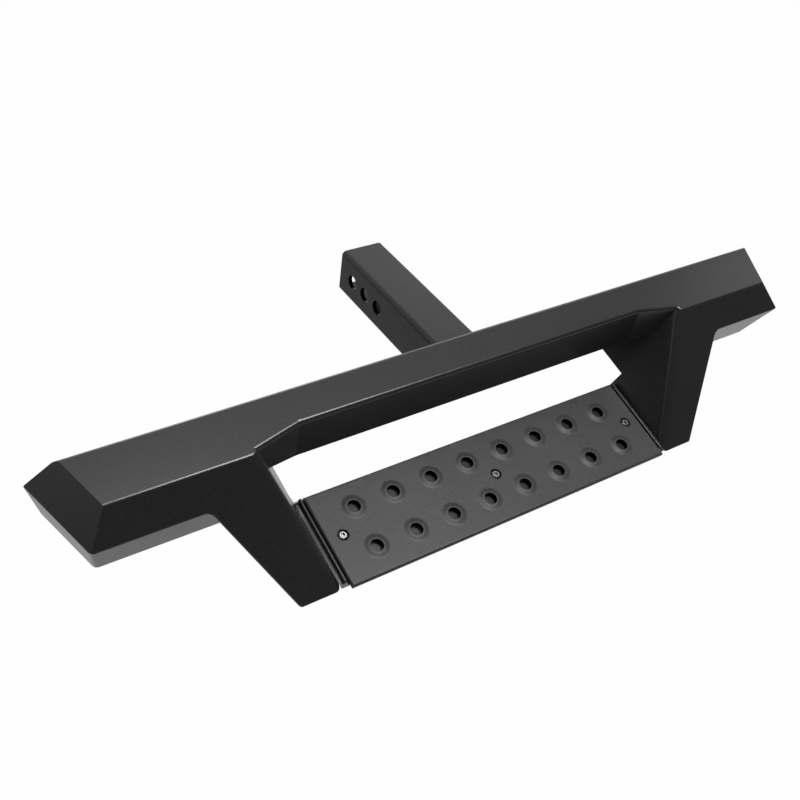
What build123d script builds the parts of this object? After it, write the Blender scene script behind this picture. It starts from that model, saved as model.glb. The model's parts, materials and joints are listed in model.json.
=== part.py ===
from build123d import *
import os
from math import cos, radians, sin, tan

os.makedirs("parts", exist_ok=True)

# The object is a drop step for a two inch towing receiver. X runs across the vehicle, +Y points
# forward into the receiver and +Z is up. The origin is the centre of the outermost pin bore.
# The step itself is laid out in its own frame, with y and z measured from the rear top edge of
# the beam, and is then tipped about that edge.

# Shank
tube_side = 50.8
tube_wall = 4.8
tube_corner = 5.0
pin_bore = 16.3
pin_pitch = 25.4
pin_count = 3
pin_to_tip = 26.0
pin_to_beam = 169.8
tube_stub = 10.0
tube_chamfer = 0.8
tube_bore_corner = 1.6

# How the step sits on the shank
step_tilt = 13.8
beam_rise = 43.9

# Folded sheet
sheet = 3.0
fold_radius = 4.0
arris_radius = 2.0
end_radius = 4.0
corner_radius = 6.0

# Beam section outside the legs
top_depth = 53.3
bevel_drop = 24.9
skirt_drop = 53.4
skirt_undercut = 13.1

# Beam ends, given along the rear edge of the top plate
top_half_length = 404.4
widest_half_length = 431.6
end_plan_slant = 18.6
lower_end_slope = 13.8

# Beam section between the legs
mid_setback = 15.0
mid_half_length = 204.3
web_drop = 44.3
web_slant = 7.7
mid_rear_drop = 87.7
transition_angle = 13.3
transition_radius = 15.0

# Legs
leg_drop = 104.3
leg_rear = 58.8
leg_inner_top = 251.9
leg_inner_lean = 25.1
leg_outer_at_bevel = 305.8
leg_outer_lean = 36.6
leg_nose_radius = 9.0
leg_root_radius = 5.0

# Tray between the legs, its underside level with the legs' lower edge
tray_sheet = 3.0
tray_setback = 1.3
tray_flange = 20.0
tray_lip_gap = 1.7
tray_lip_height = 4.5
tray_lip_radius = 1.2
tray_rib_height = 16.0
tray_rib_thickness = 4.0
tray_rib_y = 125.0
tray_rib_length = 380.0

# Punched pad
pad_length = 391.5
pad_depth = 99.4
pad_gauge = 1.6
pad_height = 5.0
pad_front = 161.2
pad_fold_radius = 2.2
dish_radius = 13.0
dish_hole_radius = 7.3
dish_depth = 1.8
dish_sides = 24
dish_pitch = 44.3
dish_row_gap = 45.0
dish_count = 8
seat_radius = 8.0
seat_floor_radius = 6.0

# Fasteners
screw_radius = 3.0
screw_hole_radius = 3.3
screw_length = 14.0
screw_head_radius = 5.25
screw_head_height = 3.3
screw_band_radius = 4.8
screw_crown_radius = 3.4
screw_band_height = 1.7
screw_socket_across = 4.0
screw_socket_depth = 2.1
screw_spacing = 179.0
screw_count = 3
nut_across = 10.0
nut_height = 5.0
nut_flange_radius = 6.8
nut_flange_height = 1.2

# Ribs, welds and drains
rib_thickness = 5.0
side_clearance = 0.3
thread_clearance = 0.05
tube_weld_leg = 4.0
weld_crest = 0.6
drain_radius = 4.0
drain_inset = 28.0
drain_from_rear = 30.0

# Worked out from the sizes above
cutter_length = 4 * pad_height
reach = 4 * top_half_length
bevel_front = top_depth + bevel_drop
beam_drop = bevel_drop + skirt_drop
skirt_foot = bevel_front - skirt_undercut
leg_tip = top_depth + leg_drop
tray_front = leg_tip - tray_setback
tray_rear = leg_rear
mid_top_depth = top_depth - mid_setback
leg_outer_top = leg_outer_at_bevel + bevel_drop * tan(radians(leg_outer_lean))
web_foot = mid_top_depth + web_drop * tan(radians(web_slant))
end_plan = tan(radians(end_plan_slant))
upper_end = (widest_half_length - top_half_length) / bevel_drop
lower_end = tan(radians(lower_end_slope))
end_upper_normal = (1, -end_plan, upper_end)
end_lower_normal = (1, -end_plan, -lower_end)
tray_top = leg_drop - tray_sheet
pad_top = tray_top - pad_height
pad_middle = pad_front - pad_depth / 2
seat_depth = pad_height - pad_gauge


def beyond(origin, normal, inset=0.0):
    """Everything beyond a plane, after the plane is moved back by the inset."""
    face = Plane(origin=origin, z_dir=normal)
    block = Box(2 * reach, 2 * reach, reach, align=(Align.CENTER, Align.CENTER, Align.MIN))
    return face * Pos(0, 0, -inset) * block


def across(points, half=reach / 2, inset=0.0):
    """A prism along X whose section is given as pairs of y and z."""
    section = Plane.YZ * make_face(Polyline([(y, z) for y, z in points], close=True))
    if inset:
        section = offset(section, amount=-inset, kind=Kind.INTERSECTION)
    return extrude(section, half, both=True)


def mirrored(shape):
    return mirror(shape, about=Plane.YZ)


def eased(point, first, second, radius, inset):
    """The space outside two narrow flats that ease the edge between two faces."""
    first = Vector(first).normalized()
    second = Vector(second).normalized()
    turn = radians(first.get_angle(second))
    depth = radius * cos(turn / 4) / cos(turn / 2) - radius
    near, far = sin(3 * turn / 4), sin(turn / 4)
    normals = (first * near + second * far, first * far + second * near)
    return [beyond(point, normal, inset + depth) for normal in normals]


def end_faces(inset=0.0):
    """The space outside the sloped upper face and the undercut lower face of the right end."""
    widest = (widest_half_length, 0, -bevel_drop)
    upper = beyond((top_half_length, 0, 0), end_upper_normal, inset)
    lower = beyond(widest, end_lower_normal, inset)
    return upper + lower + eased(widest, end_upper_normal, end_lower_normal, end_radius, inset)


def end_space(inset=0.0):
    """The space outside the whole right end, with its eased front corner."""
    corner = (widest_half_length - bevel_front * end_plan, -bevel_front, -bevel_drop)
    skirt_normal = (0, -skirt_drop, -skirt_undercut)
    return end_faces(inset) + eased(corner, end_lower_normal, skirt_normal, corner_radius, inset)


def leg_inner_space(inset=0.0):
    """The space on the middle side of the right leg's inner face."""
    lean = radians(leg_inner_lean)
    return beyond((leg_inner_top, 0, 0), (-cos(lean), 0, sin(lean)), inset)


def leg_outer_space(inset=0.0):
    """The space on the far side of the right leg's outer face."""
    lean = radians(leg_outer_lean)
    return beyond((leg_outer_top, 0, 0), (cos(lean), 0, -sin(lean)), inset)


def beam_block(inset):
    section = [(0, 0), (-top_depth, 0), (-bevel_front, -bevel_drop), (-skirt_foot, -beam_drop), (0, -beam_drop)]
    block = across(section, inset=inset)
    ends = end_space(inset)
    return block - ends - mirrored(ends)


def leg_block(inset):
    """The right leg, from inside the beam down to the tray."""
    root = bevel_drop / 2
    section = [(-top_depth - root, -root), (-leg_tip, -leg_drop), (-leg_rear, -leg_drop),
               (-leg_rear, -mid_rear_drop), (0, -mid_rear_drop), (0, -root)]
    return across(section, inset=inset) - leg_inner_space(inset) - leg_outer_space(inset)


def middle_block(inset):
    section = [(0, 0), (-top_depth, 0), (-bevel_front, -bevel_drop), (-bevel_front, -mid_rear_drop),
               (0, -mid_rear_drop)]
    inner = leg_inner_space(inset)
    return across(section, inset=inset) & inner & mirrored(inner)


def web_cut(inset):
    """The notch in front of the web, with a slanted flank to each leg."""
    slant = radians(web_slant)
    turn = radians(transition_angle)
    inner = leg_inner_space(inset)
    corner = (mid_half_length, -mid_top_depth, 0)
    web_normal = (0, -cos(slant), sin(slant))
    flank_normal = (-sin(turn), -cos(turn), tan(slant) * cos(turn))
    flank = beyond(corner, flank_normal, inset)
    notch = beyond(corner, web_normal, inset) & flank & mirrored(flank) & inner & mirrored(inner)
    return notch


def underside_space(inset):
    """The space below the sloped plate that closes the middle of the beam."""
    rise = mid_rear_drop - web_drop
    inner = leg_inner_space(inset)
    below = beyond((0, 0, -mid_rear_drop), (0, -rise, -web_foot), inset)
    return below & inner & mirrored(inner)


def inner_x(z):
    return leg_inner_top + z * tan(radians(leg_inner_lean))


def outer_x(z):
    return leg_outer_top + z * tan(radians(leg_outer_lean))


def edge_at(shape, *point):
    return shape.edges().sort_by_distance(point)[0]


def edge_pair(shape, x, y, z):
    return [edge_at(shape, x, y, z), edge_at(shape, -x, y, z)]


def body(inset=0.0):
    """Beam and legs as one closed outline, drawn in by the inset and rounded at the folds."""
    legs = leg_block(inset)
    whole = beam_block(inset) + legs + mirrored(legs) + middle_block(inset)
    whole = whole - web_cut(inset) - underside_space(inset)
    low = -(bevel_drop + beam_drop) / 2
    undercut = skirt_undercut * (-low - bevel_drop) / skirt_drop
    half_web = -web_drop / 2
    half_leg = -leg_drop / 2
    whole = fillet(edge_pair(whole, outer_x(low), undercut - bevel_front, low), leg_root_radius + inset)
    crease = edge_pair(whole, mid_half_length, half_web * tan(radians(web_slant)) - mid_top_depth, half_web)
    whole = fillet(crease, transition_radius + inset)
    nose = edge_pair(whole, inner_x(half_leg) + inset, half_leg - top_depth, half_leg)
    whole = fillet(nose, leg_nose_radius - inset)
    fold = fold_radius - inset
    flank_x = (mid_half_length + leg_inner_top) / 2
    flank_y = (flank_x - mid_half_length) * tan(radians(transition_angle)) + mid_top_depth
    ridge_x = (leg_inner_top + top_half_length) / 2
    folds = [edge_at(whole, 0, inset - mid_top_depth, -inset)]
    folds += edge_pair(whole, flank_x, inset - flank_y, -inset)
    folds += edge_pair(whole, ridge_x, inset - top_depth, -inset)
    if not inset:
        folds += edge_pair(whole, leg_inner_top, fold_radius / 2 - top_depth, 0)
    whole = fillet(folds, fold)
    whole = fillet(edge_at(whole, 0, -inset, -inset), fold)
    if inset:
        return whole
    wide = edge_pair(whole, (leg_outer_at_bevel + widest_half_length) / 2, inset - bevel_front, -bevel_drop)
    wide += edge_pair(whole, outer_x(half_leg) - inset, half_leg - top_depth + inset, half_leg)
    return fillet(wide, arris_radius)


def leg_zone():
    """The slice of the step between the right leg's inner and outer faces."""
    return Box(reach, reach, reach) - leg_inner_space() - leg_outer_space()


def foot_band():
    """The folded strip that closes the underside of a leg."""
    outline = [(-leg_tip, -leg_drop), (-leg_rear, -leg_drop), (-leg_rear, -mid_rear_drop), (0, -mid_rear_drop),
               (0, sheet - mid_rear_drop), (-leg_rear - sheet, sheet - mid_rear_drop),
               (-leg_rear - sheet, sheet - leg_drop), (sheet - leg_tip, sheet - leg_drop)]
    return across(outline)


def largest(shape):
    return shape.solids().sort_by(SortBy.VOLUME)[-1]


def drained(floor):
    """A floor plate with its two drain holes."""
    leg_end = outer_x(-beam_drop)
    cap_end = widest_half_length - skirt_drop * lower_end - drain_from_rear * end_plan
    for drain_x in (leg_end + drain_inset, cap_end - drain_inset):
        floor -= Pos(drain_x, -drain_from_rear, -beam_drop) * Cylinder(drain_radius, cutter_length)
    return floor


def skin_pieces(inside):
    """The folded and welded sheets, cut from the wall round the inside space."""
    outline = body()
    wall = outline - inside
    top = beyond((0, 0, -sheet), (0, 0, 1))
    rear = beyond((0, -sheet, 0), (0, 1, 0))
    right = beyond((0, 0, 0), (1, 0, 0))
    middle = leg_inner_space() & mirrored(leg_inner_space())
    underside = beyond((0, 0, -mid_rear_drop), (0, web_drop - mid_rear_drop, -web_foot), sheet)
    cap = outline & end_faces(sheet) & right
    leg_part = (wall & leg_zone()) - top - rear
    foot = largest(leg_part & foot_band())
    leg = largest(leg_part - foot_band())
    floor = (wall & beyond((0, 0, sheet - beam_drop), (0, 0, -1)) & leg_outer_space() & right) - cap
    mid_part = (wall & middle) - top - rear
    mid_floor = largest(mid_part & underside)
    web = largest(mid_part - underside)
    shell = wall - mid_floor - web
    for piece in (cap, leg, foot, floor):
        shell = shell - piece - mirrored(piece)
    pieces = dict(beam_shell=shell, web_plate=web, middle_floor_plate=mid_floor)
    pairs = dict(end_cap=cap, floor_plate=drained(floor), leg=leg, leg_foot=foot)
    for name, piece in pairs.items():
        pieces[name + "_right"] = piece
        pieces[name + "_left"] = mirrored(piece)
    return pieces


def tube_ribs(inside):
    """Two plates inside the beam, one on each side of the shank."""
    place = tube_side / 2 + side_clearance + rib_thickness / 2
    slab = Pos(place, 0, 0) * Box(rib_thickness, reach, reach)
    rib = inside & slab
    return dict(tube_rib_right=rib, tube_rib_left=mirrored(rib))


def step_tray():
    """A plate between the legs with its rear edge folded down."""
    bend = tray_sheet
    path = [(-tray_front, -tray_top), (-tray_rear, -tray_top), (-tray_rear, -tray_top - tray_flange),
            (-tray_rear - tray_sheet, -tray_top - tray_flange), (-tray_rear - tray_sheet, -tray_top - tray_sheet),
            (-tray_front, -tray_top - tray_sheet)]
    tray = across(path)
    tray = fillet(edge_at(tray, 0, -tray_rear, -tray_top), bend + tray_sheet)
    tray = fillet(edge_at(tray, 0, -tray_rear - tray_sheet, -tray_top - tray_sheet), bend)
    lip = tray_side_lip()
    tray = (tray + lip + mirrored(lip)) & leg_inner_space() & mirrored(leg_inner_space())
    for x in screw_places():
        tray -= Pos(x, -pad_middle, -tray_top) * Cylinder(screw_hole_radius, cutter_length)
    return tray


def tray_side_lip():
    """The tray's right edge, turned up beside the pad and rounded along its top."""
    place = pad_length / 2 + tray_lip_gap + tray_sheet / 2
    length = tray_front - tray_rear - 2 * tray_sheet
    middle = -(tray_front + tray_rear) / 2
    lip = Box(tray_sheet, length, tray_lip_height, align=(Align.CENTER, Align.CENTER, Align.MIN))
    lip = fillet(lip.faces().sort_by(Axis.Z)[-1].edges().filter_by(Axis.Y), tray_lip_radius)
    return Pos(place, middle, -tray_top) * lip


def tray_rib():
    """A flat bar on edge that stiffens the tray near its front edge."""
    place = Pos(0, -tray_rib_y, -tray_top - tray_sheet)
    return place * Box(tray_rib_length, tray_rib_thickness, tray_rib_height, align=(Align.CENTER, Align.CENTER, Align.MAX))


def screw_places():
    return [screw_spacing * (i - (screw_count - 1) / 2) for i in range(screw_count)]


def dish_places():
    return [(dish_pitch * (i - (dish_count - 1) / 2), row * dish_row_gap / 2)
            for i in range(dish_count) for row in (-1, 1)]


def tapered(base_radius, top_radius, height, sides=None):
    """A frustum standing on z = 0, round or with a given number of sides."""
    if sides is None:
        return Cone(base_radius, top_radius, height, align=(Align.CENTER, Align.CENTER, Align.MIN))
    base = RegularPolygon(base_radius, sides)
    return loft([base, Pos(0, 0, height) * RegularPolygon(top_radius, sides)])


def step_pad():
    """A pressed cover with a low lip all round, two rows of dished holes and three screw seats."""
    lip = pad_height - pad_gauge
    pad = Box(pad_length, pad_depth, pad_height, align=(Align.CENTER, Align.CENTER, Align.MAX))
    rim = pad.edges().group_by(Axis.Z)[-1]
    pad = fillet(rim, pad_fold_radius)
    hollow = Box(pad_length - 2 * pad_gauge, pad_depth - 2 * pad_gauge, lip, align=(Align.CENTER, Align.CENTER, Align.MIN))
    pad -= Pos(0, 0, -pad_height) * hollow
    boss = Pos(0, 0, -pad_gauge - dish_depth) * tapered(dish_hole_radius, dish_radius, dish_depth, dish_sides)
    bowl = Pos(0, 0, -dish_depth) * tapered(dish_hole_radius, dish_radius, dish_depth, dish_sides)
    hole = Pos(0, 0, -pad_height) * extrude(RegularPolygon(dish_hole_radius, dish_sides), pad_height)
    seat = Pos(0, 0, -pad_height) * tapered(seat_floor_radius, seat_radius, seat_depth)
    seat_bowl = Pos(0, 0, -seat_depth) * tapered(seat_floor_radius, seat_radius, seat_depth)
    screw_hole = Cylinder(screw_hole_radius, cutter_length)
    for x, y in dish_places():
        pad += Pos(x, y, 0) * boss
    for x in screw_places():
        pad += Pos(x, 0, 0) * seat
    for x, y in dish_places():
        pad -= Pos(x, y, 0) * (bowl + hole)
    for x in screw_places():
        pad -= Pos(x, 0, 0) * (seat_bowl + screw_hole)
    return Pos(0, -pad_middle, -pad_top) * pad


def pad_screw():
    """A button head screw, its head seated at z = 0."""
    band = tapered(screw_head_radius, screw_band_radius, screw_band_height)
    crown = tapered(screw_band_radius, screw_crown_radius, screw_head_height - screw_band_height)
    head = band + Pos(0, 0, screw_band_height) * crown
    socket = RegularPolygon(screw_socket_across / 2, 6, major_radius=False)
    head -= Pos(0, 0, screw_head_height - screw_socket_depth) * extrude(socket, screw_head_height)
    shank = Cylinder(screw_radius, screw_length, align=(Align.CENTER, Align.CENTER, Align.MAX))
    return head + shank


def pad_nut():
    """A flanged nut, its flange at z = 0 and its body below."""
    body_hex = extrude(RegularPolygon(nut_across / 2, 6, major_radius=False), -nut_height)
    flange = Cylinder(nut_flange_radius, nut_flange_height, align=(Align.CENTER, Align.CENTER, Align.MAX))
    return body_hex + flange - Cylinder(screw_radius + thread_clearance, cutter_length)


def pad_fasteners():
    seat_level = -pad_top - seat_depth
    nut_level = -tray_top - tray_sheet
    pieces = {}
    for name, x in zip(("left", "middle", "right"), screw_places()):
        pieces["pad_screw_" + name] = Pos(x, -pad_middle, seat_level) * pad_screw()
        pieces["pad_nut_" + name] = Pos(x, -pad_middle, nut_level) * pad_nut()
    return pieces


def tube_outline(grow=0.0):
    side = tube_side + 2 * grow
    return RectangleRounded(side, side, tube_corner + grow)


def shank_prism(start, end, grow=0.0):
    """The shank's outer form between two places along Y."""
    section = Plane(origin=(0, start, 0), x_dir=(1, 0, 0), z_dir=(0, 1, 0)) * tube_outline(grow)
    return extrude(section, end - start)


def receiver_tube():
    """The square shank, mitred inside the beam and cross-drilled near its tip."""
    start = -pin_to_beam - tube_side
    tube = shank_prism(start, pin_to_tip)
    tube = chamfer(tube.faces().sort_by(Axis.Y)[-1].outer_wire().edges(), tube_chamfer)
    bore_side = tube_side - 2 * tube_wall
    bore = Plane(origin=(0, start, 0), x_dir=(1, 0, 0), z_dir=(0, 1, 0)) * RectangleRounded(bore_side, bore_side, tube_bore_corner)
    tube -= extrude(bore, pin_to_tip - start)
    tube = tube & seated(beyond((0, -tube_stub, 0), (0, 1, 0)))
    for i in range(pin_count):
        tube -= Pos(0, -i * pin_pitch, 0) * Rot(0, 90, 0) * Cylinder(pin_bore / 2, 2 * tube_side)
    return tube


def weld_section(from_wall, grow):
    """The shank's slanted section, a given distance from the rear wall, with a margin all round."""
    tilt = radians(step_tilt)
    centre = -beam_rise / cos(tilt) - from_wall * tan(tilt)
    plane = Plane(origin=(0, from_wall, centre), x_dir=(1, 0, 0), z_dir=(0, 1, 0))
    return plane * RectangleRounded(tube_side + 2 * grow, tube_side / cos(tilt) + 2 * grow, tube_corner + grow)


def tube_weld():
    """The fillet weld round the shank where it enters the beam."""
    bead = loft([weld_section(0, tube_weld_leg), weld_section(tube_weld_leg, weld_crest)])
    return seated(bead) - shank_prism(-pin_to_beam - tube_side, 0)


def seated(shape):
    """Moves a shape from the step's own frame to its tipped place behind the shank."""
    return Pos(0, -pin_to_beam, beam_rise) * Rot(step_tilt, 0, 0) * shape


def build():
    inside = body(sheet)
    laid_out = skin_pieces(inside)
    laid_out.update(tube_ribs(inside))
    laid_out["step_tray"] = step_tray()
    laid_out["tray_rib"] = tray_rib()
    laid_out["step_pad"] = step_pad()
    laid_out.update(pad_fasteners())
    pieces = {name: seated(shape) for name, shape in laid_out.items()}
    passage = shank_prism(-pin_to_beam - tube_side, 0, side_clearance)
    pieces["beam_shell"] -= passage
    pieces["receiver_tube"] = receiver_tube()
    pieces["tube_weld"] = tube_weld()
    return pieces


for name, shape in build().items():
    shape.label = name
    export_step(shape, "parts/" + name + ".step")
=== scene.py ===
import bpy
import bmesh
from math import cos, pi, radians, sin
from mathutils import Matrix, Vector
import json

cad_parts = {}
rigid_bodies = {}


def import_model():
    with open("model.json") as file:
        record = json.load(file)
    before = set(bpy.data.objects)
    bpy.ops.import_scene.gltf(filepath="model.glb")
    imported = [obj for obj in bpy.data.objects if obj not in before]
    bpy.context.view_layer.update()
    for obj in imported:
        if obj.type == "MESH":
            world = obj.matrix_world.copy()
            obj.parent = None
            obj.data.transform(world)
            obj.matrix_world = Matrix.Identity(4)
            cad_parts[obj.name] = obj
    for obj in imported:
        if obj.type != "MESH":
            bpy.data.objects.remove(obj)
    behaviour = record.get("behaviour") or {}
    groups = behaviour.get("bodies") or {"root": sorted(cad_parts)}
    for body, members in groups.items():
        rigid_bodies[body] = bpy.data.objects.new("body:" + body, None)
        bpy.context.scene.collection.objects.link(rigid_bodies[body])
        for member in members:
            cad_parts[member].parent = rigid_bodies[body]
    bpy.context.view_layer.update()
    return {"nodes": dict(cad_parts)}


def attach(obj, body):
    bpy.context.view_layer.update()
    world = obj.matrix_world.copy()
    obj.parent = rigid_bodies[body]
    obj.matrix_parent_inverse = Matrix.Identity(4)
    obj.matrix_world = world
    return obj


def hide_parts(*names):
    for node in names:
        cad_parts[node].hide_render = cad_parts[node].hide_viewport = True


# the default cube, lamp and camera go first
for item in list(bpy.data.objects):
    bpy.data.objects.remove(item)

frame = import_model()
print("step parts loaded:", len(frame["nodes"]))


# small helpers for node trees

whole = (0.0, 1.0)
noiseMiddle = (0.3, 0.7)          # where most of a noise's levels lie
white = (1.0, 1.0, 1.0, 1.0)


def newMaterial(name):
    mat = bpy.data.materials.new(name)
    mat.use_nodes = True
    tree = mat.node_tree
    return mat, tree, tree.nodes["Principled BSDF"]


def addNode(tree, kind, **settings):
    node = tree.nodes.new(kind)
    for key, value in settings.items():
        setattr(node, key, value)
    return node


def setConstants(node, **values):
    for name, value in values.items():
        node.inputs[name.replace("_", " ")].default_value = value


def objectCoords(tree):
    return addNode(tree, "ShaderNodeTexCoord").outputs["Object"]


def noiseOn(tree, coords, scale, detail, rough=0.5):
    noise = addNode(tree, "ShaderNodeTexNoise")
    setConstants(noise, Scale=scale, Detail=detail, Roughness=rough)
    tree.links.new(coords, noise.inputs["Vector"])
    return noise.outputs["Fac"]


def rangeOf(tree, source, before, after):
    node = addNode(tree, "ShaderNodeMapRange")
    setConstants(node, From_Min=before[0], From_Max=before[1], To_Min=after[0], To_Max=after[1])
    tree.links.new(source, node.inputs["Value"])
    return node.outputs["Result"]


def mathOn(tree, operation, first, second):
    node = addNode(tree, "ShaderNodeMath", operation=operation)
    for socket, value in zip(node.inputs, (first, second)):
        if isinstance(value, float):
            socket.default_value = value
        else:
            tree.links.new(value, socket)
    return node.outputs[0]


def blendColours(tree, factor, first, second):
    node = addNode(tree, "ShaderNodeMix", data_type="RGBA")
    tree.links.new(factor, node.inputs["Factor"])
    for socket, colour in ((node.inputs[6], first), (node.inputs[7], second)):
        socket.default_value = colour + (1.0,)
    return node.outputs[2]


def bumpOn(tree, height, depth, strength=1.0, under=None):
    bump = addNode(tree, "ShaderNodeBump")
    setConstants(bump, Strength=strength, Distance=depth)
    tree.links.new(height, bump.inputs["Height"])
    if under is not None:
        tree.links.new(under, bump.inputs["Normal"])
    return bump.outputs["Normal"]


# powder coat: fine grain, orange peel and a thin smooth shine on top

coatLook = {
    "dark": (0.012, 0.012, 0.013),
    "light": (0.030, 0.030, 0.031),
    "grainPerMetre": 1100.0,      # grains a bit under a millimetre
    "grainDetail": 3.0,
    "grainRough": 0.6,
    "grainDepth": 0.00006,
    "speckLevels": (0.42, 0.68),  # where the grain goes over from dark to light
    "orangePeelPerMetre": 260.0,
    "orangePeelDetail": 1.0,
    "orangePeelDepth": 0.00012,
    "cloudPerMetre": 14.0,
    "cloudDetail": 3.0,
    "cloudRough": 0.55,
    "cloudTint": (0.88, 1.12),    # the coat is a little uneven over a hand's breadth
    "roughness": 0.42,
    "roughSpread": 0.07,
    "specular": 0.30,
    "shine": 0.90,                # seen as the thin light along a fold
    "shineRoughness": 0.19,
}
# the pad's coat is a lighter copy of the beam's powder coat: its lighter colour is painted light,
# standing in for the brighter light that falls on the pad
padLook = dict(coatLook, dark=(0.036, 0.036, 0.038), light=(0.080, 0.080, 0.084),
               roughness=0.48, specular=0.56, shine=0.0)
shankLook = dict(coatLook, dark=(0.009, 0.009, 0.010), light=(0.022, 0.022, 0.023),
                 specular=0.22, shine=0.35, shineRoughness=0.25)


def powderCoat(name, look):
    mat, tree, shader = newMaterial(name)
    coords = objectCoords(tree)
    grain = noiseOn(tree, coords, look["grainPerMetre"], look["grainDetail"], look["grainRough"])
    peel = noiseOn(tree, coords, look["orangePeelPerMetre"], look["orangePeelDetail"])
    cloud = noiseOn(tree, coords, look["cloudPerMetre"], look["cloudDetail"], look["cloudRough"])

    speck = rangeOf(tree, grain, look["speckLevels"], whole)
    scaled = addNode(tree, "ShaderNodeVectorMath", operation="SCALE")
    tree.links.new(blendColours(tree, speck, look["dark"], look["light"]), scaled.inputs[0])
    tree.links.new(rangeOf(tree, cloud, noiseMiddle, look["cloudTint"]), scaled.inputs["Scale"])
    tree.links.new(scaled.outputs[0], shader.inputs["Base Color"])

    middle, spread = look["roughness"], look["roughSpread"]
    rough = rangeOf(tree, grain, noiseMiddle, (middle - spread, middle + spread))
    tree.links.new(rough, shader.inputs["Roughness"])
    setConstants(shader, Specular_IOR_Level=look["specular"], Coat_Weight=look["shine"],
                 Coat_Roughness=look["shineRoughness"])

    fine = bumpOn(tree, grain, look["grainDepth"])
    coarse = bumpOn(tree, peel, look["orangePeelDepth"], under=fine)
    tree.links.new(coarse, shader.inputs["Normal"])
    return mat


# plated steel of the screws and nuts

steelLook = {
    "bright": (0.50, 0.495, 0.48),
    "dull": (0.30, 0.295, 0.285),
    "mottlePerMetre": 900.0,
    "mottleDetail": 4.0,
    "mottleRough": 0.6,
    "dullLevels": (0.35, 0.7),    # where the mottle goes over from bright to dull
    "roughness": 0.27,
    "smoother": 0.06,
    "rougher": 0.1,
    "bumpDepth": 0.00002,
    "bumpStrength": 0.5,
}


def platedSteel(name, look):
    mat, tree, shader = newMaterial(name)
    mottle = noiseOn(tree, objectCoords(tree), look["mottlePerMetre"], look["mottleDetail"],
                     look["mottleRough"])
    dull = rangeOf(tree, mottle, look["dullLevels"], whole)
    colour = blendColours(tree, dull, look["bright"], look["dull"])
    tree.links.new(colour, shader.inputs["Base Color"])
    rough = rangeOf(tree, mottle, noiseMiddle,
                    (look["roughness"] - look["smoother"], look["roughness"] + look["rougher"]))
    tree.links.new(rough, shader.inputs["Roughness"])
    setConstants(shader, Metallic=1.0)
    bump = bumpOn(tree, mottle, look["bumpDepth"], look["bumpStrength"])
    tree.links.new(bump, shader.inputs["Normal"])
    return mat


padCoat = powderCoat("padPowderCoat", padLook)
finishes = {
    "beam_coat": powderCoat("beamPowderCoat", coatLook),
    "pad_coat": padCoat,
    "tray_coat": powderCoat("trayPowderCoat", coatLook),
    "shank_coat": powderCoat("shankPowderCoat", shankLook),
    "screw_steel": platedSteel("screwPlatedSteel", steelLook),
    "nut_steel": platedSteel("nutPlatedSteel", dict(steelLook, roughness=0.34)),
}
for name in frame["nodes"]:
    for slot in bpy.data.objects[name].material_slots:
        slotName = slot.material.name.split(".")[0] if slot.material else ""
        if slotName in finishes:
            slot.material = finishes[slotName]
print("finishes on")


# pieces are drawn in the step's own frame, which is tipped behind the shank's stub

stepPlace = {
    "origin": (0.0, -0.1698, 0.0439),
    "tiltDegrees": 13.8,
}
stepTilt = Matrix.Rotation(radians(stepPlace["tiltDegrees"]), 4, "X")
stepFrame = Matrix.Translation(stepPlace["origin"]) @ stepTilt


def smoothStep(t):
    return t * t * (3.0 - 2.0 * t)


# how far across and down a rounded bend has gone, step by step
def quarterTurn(radius, steps):
    turns = [pi / 2 * k / steps for k in range(1, steps + 1)]
    return [(radius * sin(turn), radius * (1 - cos(turn))) for turn in turns]


def pieceOf(bm, name):
    mesh = bpy.data.meshes.new(name)
    bm.to_mesh(mesh)
    bm.free()
    piece = bpy.data.objects.new(name, mesh)
    bpy.context.scene.collection.objects.link(piece)
    return piece, mesh


# punched pad: sheet with softly raised holes, sunk screw seats and a folded lip

padShape = {
    "length": 0.3915,
    "depth": 0.0994,
    "gauge": 0.0016,
    "height": 0.0050,
    "foldRadius": 0.0022,
    "foldSteps": 6,
    "lipGap": 0.0002,          # the lip ends just above the tray
    "flatRing": 0.0004,        # flat sheet kept beside each bend, so that the flat shades flat
    "around": 56,
    "pitch": 0.0443,
    "rowGap": 0.0450,
    "perRow": 8,
    "buttonRadius": 0.0138,
    "buttonRise": 0.0014,      # the sheet swells up round each hole
    "buttonSteps": 9,
    "holeRadius": 0.0064,
    "holeBend": 0.0004,        # the hole's edge is eased
    "holeBendSteps": 3,
    "seatRadius": 0.0064,
    "seatFloor": 0.0057,
    "seatSteps": 6,
    "screwHole": 0.0033,
    "screwSpacing": 0.179,
    "middle": 0.1115,          # the pad's middle, forward of the step's frame and below it
    "top": 0.0963,
    "edgeEase": 0.00025,
    "edgeEaseSteps": 2,
    "sharpDegrees": 50,
}


def buttonRings(shape):
    bend, rise, steps = shape["holeBend"], shape["buttonRise"], shape["buttonSteps"]
    start, end = shape["buttonRadius"] - shape["flatRing"], shape["holeRadius"] + bend
    rings = [(start, 0.0)]
    for t in (k / steps for k in range(1, steps + 1)):
        rings.append((start + (end - start) * t, rise * smoothStep(t)))
    for across, down in quarterTurn(bend, shape["holeBendSteps"]):
        rings.append((end - across, rise - down))
    return rings


def seatRings(shape):
    depth, steps = shape["height"] - shape["gauge"], shape["seatSteps"]
    start, end = shape["seatRadius"] - shape["flatRing"], shape["seatFloor"]
    rings = [(start, 0.0)]
    for t in (k / steps for k in range(1, steps + 1)):
        rings.append((start + (end - start) * t, -depth * smoothStep(t)))
    rings.append((shape["screwHole"], -depth))
    return rings


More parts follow.
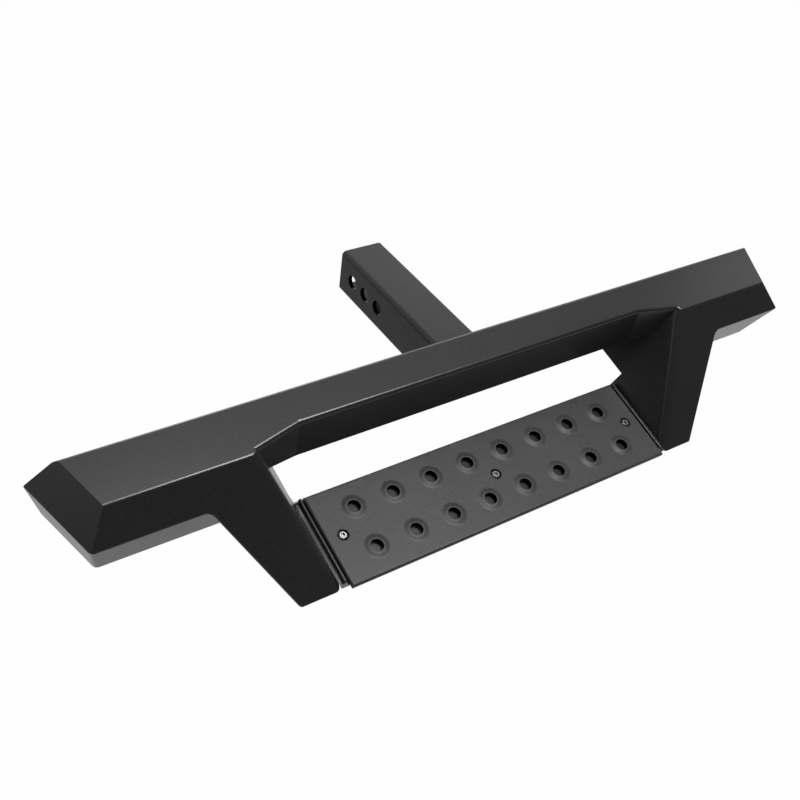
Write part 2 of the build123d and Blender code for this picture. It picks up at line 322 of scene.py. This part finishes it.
# raises or sinks the sheet ring by ring, from a round rim inwards
def drawRing(bm, ring, place, radius, rings):
    x, y = place
    level = 0.0
    for wanted, height in rings:
        made = bmesh.ops.extrude_edge_only(bm, edges=ring)["geom"]
        verts = [g for g in made if isinstance(g, bmesh.types.BMVert)]
        ring = [g for g in made if isinstance(g, bmesh.types.BMEdge)]
        bmesh.ops.scale(bm, vec=(wanted / radius, wanted / radius, 1.0), verts=verts,
                        space=Matrix.Translation((-x, -y, 0.0)))
        bmesh.ops.translate(bm, vec=(0.0, 0.0, height - level), verts=verts)
        radius, level = wanted, height


# where the holes and screw seats are, how wide their rims, and how the sheet goes on inside
def padWells(shape):
    middle = (shape["perRow"] - 1) / 2
    holes = [(shape["pitch"] * (column - middle), side * shape["rowGap"] / 2)
             for column in range(shape["perRow"]) for side in (-1, 1)]
    screws = [(i * shape["screwSpacing"], 0.0) for i in (-1, 0, 1)]
    wells = [(place, shape["buttonRadius"], buttonRings(shape)) for place in holes]
    return wells + [(place, shape["seatRadius"], seatRings(shape)) for place in screws]


# the lip goes round the fold and then straight down
def foldLip(bm, ring, shape):
    fold, flat = shape["foldRadius"], shape["flatRing"]
    turns = [(flat, 0.0)]
    turns += [(flat + across, down) for across, down in quarterTurn(fold, shape["foldSteps"])]
    turns.append((fold + flat, shape["height"] - shape["lipGap"]))
    outBefore, downBefore = 0.0, 0.0
    for out, down in turns:
        made = bmesh.ops.extrude_edge_only(bm, edges=ring)["geom"]
        ring = [g for g in made if isinstance(g, bmesh.types.BMEdge)]
        for vert in (g for g in made if isinstance(g, bmesh.types.BMVert)):
            vert.co.x += (out - outBefore) * (1 if vert.co.x > 0 else -1)
            vert.co.y += (out - outBefore) * (1 if vert.co.y > 0 else -1)
            vert.co.z -= down - downBefore
        outBefore, downBefore = out, down


def punchedPad(shape, mat):
    bm = bmesh.new()
    edge = shape["foldRadius"] + shape["flatRing"]
    bmesh.ops.create_grid(bm, x_segments=1, y_segments=1, size=1.0)
    bmesh.ops.delete(bm, geom=bm.faces[:], context="FACES_ONLY")
    bmesh.ops.scale(bm, vec=(shape["length"] / 2 - edge, shape["depth"] / 2 - edge, 1.0),
                    verts=bm.verts)
    outer = bm.edges[:]
    wells = padWells(shape)
    rims = []
    for (x, y), radius, rings in wells:
        made = bmesh.ops.create_circle(bm, cap_ends=False, segments=shape["around"], radius=radius,
                                       matrix=Matrix.Translation((x, y, 0.0)))
        rims.append(list({link for vert in made["verts"] for link in vert.link_edges}))
    bmesh.ops.triangle_fill(bm, use_beauty=True, use_dissolve=False, edges=bm.edges[:])
    for (place, radius, rings), rim in zip(wells, rims):
        drawRing(bm, rim, place, radius, rings)
    foldLip(bm, outer, shape)
    bmesh.ops.recalc_face_normals(bm, faces=bm.faces)
    if sum(face.normal.z * face.calc_area() for face in bm.faces) < 0:
        bmesh.ops.reverse_faces(bm, faces=bm.faces)
    bm.transform(stepFrame @ Matrix.Translation((0.0, -shape["middle"], -shape["top"])))
    pad, mesh = pieceOf(bm, "punchedPad")
    for face in mesh.polygons:
        face.use_smooth = True
    thick = pad.modifiers.new("sheetThickness", "SOLIDIFY")
    thick.thickness = shape["gauge"]
    thick.offset = -1.0
    thick.use_even_offset = True
    edgeEase = pad.modifiers.new("edgeEase", "BEVEL")
    edgeEase.width = shape["edgeEase"]
    edgeEase.segments = shape["edgeEaseSteps"]
    edgeEase.limit_method = "ANGLE"
    edgeEase.angle_limit = radians(shape["sharpDegrees"])
    mesh.materials.append(mat)
    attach(pad, "root")
    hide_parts("step_pad")


punchedPad(padShape, padCoat)
print("pad made")


# floor

floorLook = {
    "level": -0.62,
    "size": 9.0,
    "colour": (0.80, 0.80, 0.80),
    "whiteness": 0.985,           # how far the floor is lifted to white for the eye
    "inGloss": 0.14,              # and in reflections
}


def mirroredRays(tree, path):
    return mathOn(tree, "MAXIMUM", path.outputs["Is Glossy Ray"],
                  path.outputs["Is Transmission Ray"])


def paleFloor(look):
    bm = bmesh.new()
    bmesh.ops.create_grid(bm, x_segments=2, y_segments=2, size=look["size"] / 2)
    bmesh.ops.translate(bm, verts=bm.verts, vec=(0.0, 0.0, look["level"]))
    floor, mesh = pieceOf(bm, "studioFloor")
    mat = bpy.data.materials.new("floorPale")
    mat.use_nodes = True
    tree = mat.node_tree
    tree.nodes.clear()
    out = addNode(tree, "ShaderNodeOutputMaterial")
    diffuse = addNode(tree, "ShaderNodeBsdfDiffuse")
    setConstants(diffuse, Color=look["colour"] + (1.0,))
    glow = addNode(tree, "ShaderNodeEmission")
    setConstants(glow, Color=white)
    path = addNode(tree, "ShaderNodeLightPath")
    direct = mathOn(tree, "MULTIPLY", path.outputs["Is Camera Ray"], look["whiteness"])
    mirrored = mathOn(tree, "MULTIPLY", mirroredRays(tree, path), look["inGloss"])
    mix = addNode(tree, "ShaderNodeMixShader")
    tree.links.new(mathOn(tree, "MAXIMUM", direct, mirrored), mix.inputs["Fac"])
    tree.links.new(diffuse.outputs[0], mix.inputs[1])
    tree.links.new(glow.outputs[0], mix.inputs[2])
    tree.links.new(mix.outputs[0], out.inputs["Surface"])
    mesh.materials.append(mat)


paleFloor(floorLook)


# camera

cameraPlace = {
    "location": (-0.54224, -0.75903, 0.63064),
    "turnDegrees": (48.941, -6.860, -32.811),
    "lens": 45.31,
    "sensor": 36.0,
    "nearest": 0.01,
}


def photoCamera(place):
    data = bpy.data.cameras.new("photoCamera")
    data.lens = place["lens"]
    data.sensor_width = place["sensor"]
    data.clip_start = place["nearest"]
    camera = bpy.data.objects.new("photoCamera", data)
    camera.location = place["location"]
    camera.rotation_euler = [radians(a) for a in place["turnDegrees"]]
    bpy.context.scene.collection.objects.link(camera)
    bpy.context.scene.camera = camera


photoCamera(cameraPlace)


# soft square lamps on a sphere round the step
# up: degrees above level; round: degrees from behind towards the right

lampRing = {
    "centre": (0.0, -0.15, 0.0),
    "radius": 2.2,
    "lampSize": 0.8,
}
lamps = {
    "key": {"up": 70, "round": 135, "watts": 28.0},
    "overhead": {"up": 90, "round": 0, "watts": 6.0},
    "rearRight": {"up": 30, "round": 45, "watts": 1.6},
    "right": {"up": 30, "round": 90, "watts": 1.4},
    "left": {"up": 30, "round": 270, "watts": 0.5},
    "behind": {"up": 12, "round": 15, "watts": 6.0},
}


def softLamp(name, spec, ring):
    data = bpy.data.lights.new(name, "AREA")
    data.shape = "SQUARE"
    data.size = ring["lampSize"]
    data.energy = spec["watts"]
    up, about = radians(spec["up"]), radians(spec["round"])
    away = Vector((sin(about) * cos(up), cos(about) * cos(up), sin(up)))
    lamp = bpy.data.objects.new(name, data)
    lamp.location = Vector(ring["centre"]) + away * ring["radius"]
    lamp.rotation_euler = (-away).to_track_quat("-Z", "Y").to_euler()
    bpy.context.scene.collection.objects.link(lamp)


for name, spec in lamps.items():
    softLamp(name, spec, lampRing)


# the room: white for the eye, pale behind and dim in front for gloss

skyLook = {
    "towards": (-0.15, 0.88, 0.20),    # the pale side of the studio, behind
    "turn": (0.10, 0.80),              # how far round the paleness comes and is full
    "front": 0.09,                     # the dim side, where the camera stands
    "behind": 1.0,
    "fill": 0.07,                      # soft light that reaches every side
}


def studioSky(look):
    world = bpy.data.worlds.new("studioSky")
    bpy.context.scene.world = world
    world.use_nodes = True
    tree = world.node_tree
    tree.nodes.clear()
    out = addNode(tree, "ShaderNodeOutputWorld")
    coords = addNode(tree, "ShaderNodeTexCoord")
    along = addNode(tree, "ShaderNodeVectorMath", operation="DOT_PRODUCT")
    tree.links.new(coords.outputs["Generated"], along.inputs[0])
    along.inputs[1].default_value = look["towards"]
    pale = rangeOf(tree, along.outputs["Value"], look["turn"], (look["front"], look["behind"]))
    path = addNode(tree, "ShaderNodeLightPath")
    mirrored = mathOn(tree, "MULTIPLY", mirroredRays(tree, path), pale)
    seen = mathOn(tree, "MAXIMUM", path.outputs["Is Camera Ray"], mirrored)
    room = addNode(tree, "ShaderNodeBackground")
    setConstants(room, Color=white)
    tree.links.new(mathOn(tree, "MAXIMUM", seen, look["fill"]), room.inputs["Strength"])
    tree.links.new(room.outputs[0], out.inputs["Surface"])


studioSky(skyLook)
bpy.context.scene.view_settings.view_transform = "Standard"
print("camera, lamps and floor set")
